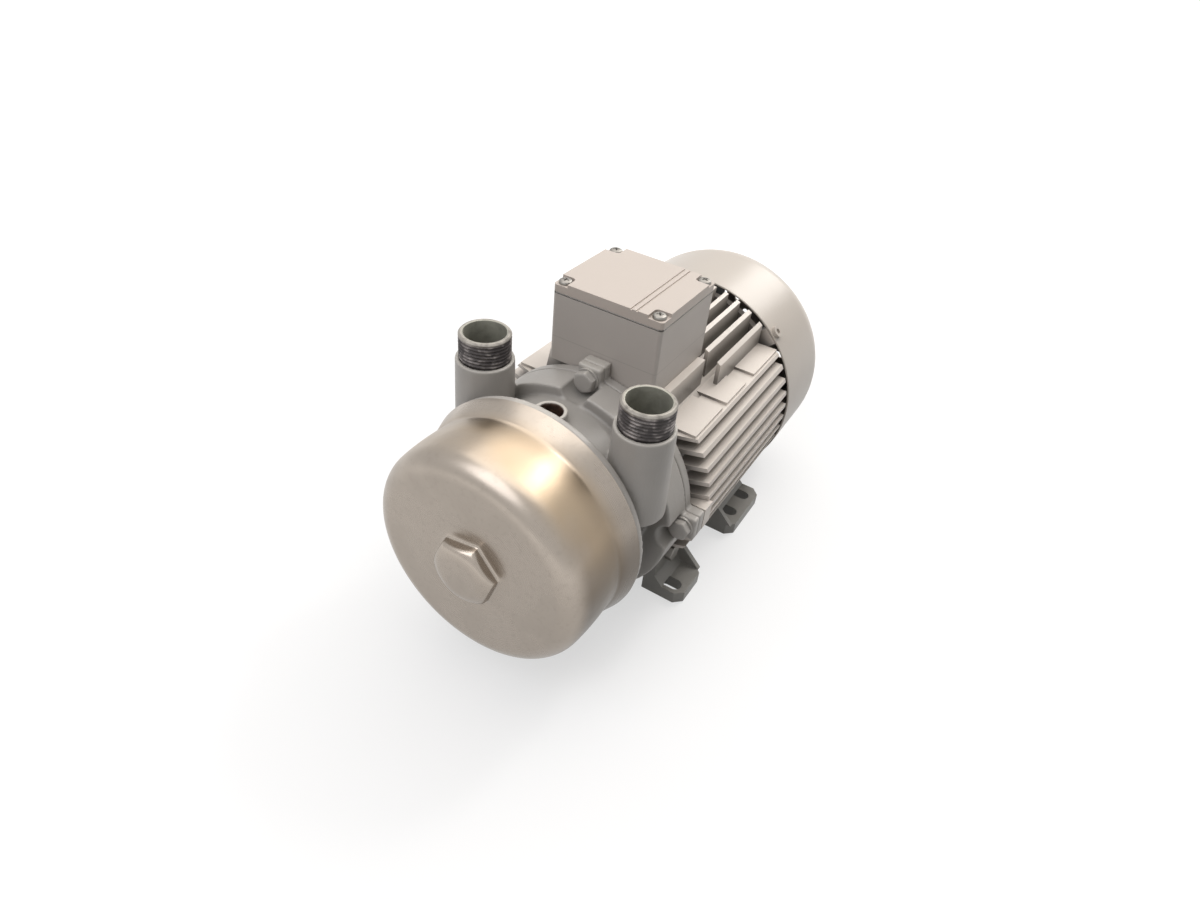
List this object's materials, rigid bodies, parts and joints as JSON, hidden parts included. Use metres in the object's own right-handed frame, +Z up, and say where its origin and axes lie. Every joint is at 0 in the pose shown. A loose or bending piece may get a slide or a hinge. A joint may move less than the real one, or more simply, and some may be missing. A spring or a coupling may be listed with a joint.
{
  "type": "liquid ring vacuum pump",
  "caption": "Close coupled liquid ring vacuum pump: drawn pot casing with upright port nipples, flanged to a finned foot mounted electric motor with terminal box and fan cowl.",
  "frame": {"origin": "on the floor under the shaft, at the centre of the four foot holes", "axes": "+Y along the shaft from the pump to the fan, +Z up, +X to the suction side"},
  "size_m": [0.18, 0.3818, 0.2214],
  "materials": {
    "casing_pot": null,
    "pot_o_ring": "plain",
    "port_housing": null,
    "suction_nipple": "plain",
    "discharge_nipple": "plain",
    "port_plate": "plain",
    "port_plate_screws": "plain",
    "seal_seat": "plain",
    "seal_seat_cup": "plain",
    "pump_bolts": null,
    "pump_bolt_washers": null,
    "drain_plug": "plain",
    "drive_end_shield": null,
    "shield_screws": "plain",
    "motor_frame": null,
    "foot_front_left": null,
    "foot_front_right": null,
    "foot_rear_left": null,
    "foot_rear_right": null,
    "foot_bolts": "plain",
    "fan_end_shield": null,
    "bearing_spring_washer": "plain",
    "drive_end_bearing_outer_ring": "plain",
    "fan_end_bearing_outer_ring": "plain",
    "stator_core": "plain",
    "stator_windings": "plain",
    "fan_cowl": null,
    "cowl_screws": "plain",
    "terminal_box": null,
    "terminal_box_gasket": "plain",
    "terminal_box_lid": null,
    "lid_screws": "plain",
    "box_screws": "plain",
    "terminal_board": "plain",
    "terminal_studs": "plain",
    "terminal_nuts": "plain",
    "terminal_links": "plain",
    "cable_gland": "plain",
    "cable_gland_cap": "plain",
    "blanking_plug": "plain",
    "entry_locknuts": "plain",
    "shaft": "plain",
    "impeller": "plain",
    "impeller_key": "plain",
    "impeller_washer": "plain",
    "impeller_screw": "plain",
    "seal_head": "plain",
    "seal_spring": "plain",
    "slinger_ring": "plain",
    "drive_end_bearing_inner_ring": "plain",
    "fan_end_bearing_inner_ring": "plain",
    "rotor_core": "plain",
    "rotor_cage": "plain",
    "cooling_fan": "plain",
    "fan_circlip": "plain",
    "drive_end_bearing_balls": "plain",
    "drive_end_bearing_cage": "plain",
    "fan_end_bearing_balls": "plain",
    "fan_end_bearing_cage": "plain"
  },
  "bodies": {
    "housing": {"casing_pot": "casing_pot", "pot_o_ring": "pot_o_ring", "port_housing": "port_housing", "suction_nipple": "suction_nipple", "discharge_nipple": "discharge_nipple", "port_plate": "port_plate", "port_plate_screws": "port_plate_screws", "seal_seat": "seal_seat", "seal_seat_cup": "seal_seat_cup", "pump_bolts": "pump_bolts", "pump_bolt_washers": "pump_bolt_washers", "drain_plug": "drain_plug", "drive_end_shield": "drive_end_shield", "shield_screws": "shield_screws", "motor_frame": "motor_frame", "foot_front_left": "foot_front_left", "foot_front_right": "foot_front_right", "foot_rear_left": "foot_rear_left", "foot_rear_right": "foot_rear_right", "foot_bolts": "foot_bolts", "fan_end_shield": "fan_end_shield", "bearing_spring_washer": "bearing_spring_washer", "drive_end_bearing_outer_ring": "drive_end_bearing_outer_ring", "fan_end_bearing_outer_ring": "fan_end_bearing_outer_ring", "stator_core": "stator_core", "stator_windings": "stator_windings", "fan_cowl": "fan_cowl", "cowl_screws": "cowl_screws", "terminal_box": "terminal_box", "terminal_box_gasket": "terminal_box_gasket", "terminal_box_lid": "terminal_box_lid", "lid_screws": "lid_screws", "box_screws": "box_screws", "terminal_board": "terminal_board", "terminal_studs": "terminal_studs", "terminal_nuts": "terminal_nuts", "terminal_links": "terminal_links", "cable_gland": "cable_gland", "cable_gland_cap": "cable_gland_cap", "blanking_plug": "blanking_plug", "entry_locknuts": "entry_locknuts"},
    "rotor": {"shaft": "shaft", "impeller": "impeller", "impeller_key": "impeller_key", "impeller_washer": "impeller_washer", "impeller_screw": "impeller_screw", "seal_head": "seal_head", "seal_spring": "seal_spring", "slinger_ring": "slinger_ring", "drive_end_bearing_inner_ring": "drive_end_bearing_inner_ring", "fan_end_bearing_inner_ring": "fan_end_bearing_inner_ring", "rotor_core": "rotor_core", "rotor_cage": "rotor_cage", "cooling_fan": "cooling_fan", "fan_circlip": "fan_circlip"},
    "drive_end_cage": {"drive_end_bearing_balls": "drive_end_bearing_balls", "drive_end_bearing_cage": "drive_end_bearing_cage"},
    "fan_end_cage": {"fan_end_bearing_balls": "fan_end_bearing_balls", "fan_end_bearing_cage": "fan_end_bearing_cage"}
  },
  "joints": [
    {"name": "shaft_spin", "type": "hinge", "parent": "housing", "child": "rotor", "pos_m": [0, 0, 0.09], "axis": [0, 1, 0], "continuous": true},
    {"name": "drive_end_cage_spin", "type": "hinge", "parent": "housing", "child": "drive_end_cage", "pos_m": [0, -0.0545, 0.09], "axis": [0, 1, 0], "continuous": true},
    {"name": "fan_end_cage_spin", "type": "hinge", "parent": "housing", "child": "fan_end_cage", "pos_m": [0, 0.0955, 0.09], "axis": [0, 1, 0], "continuous": true}
  ],
  "couplings": [
    {"joint": "drive_end_cage_spin", "follows": "shaft_spin", "ratio": 0.3969},
    {"joint": "fan_end_cage_spin", "follows": "shaft_spin", "ratio": 0.3969}
  ]
}
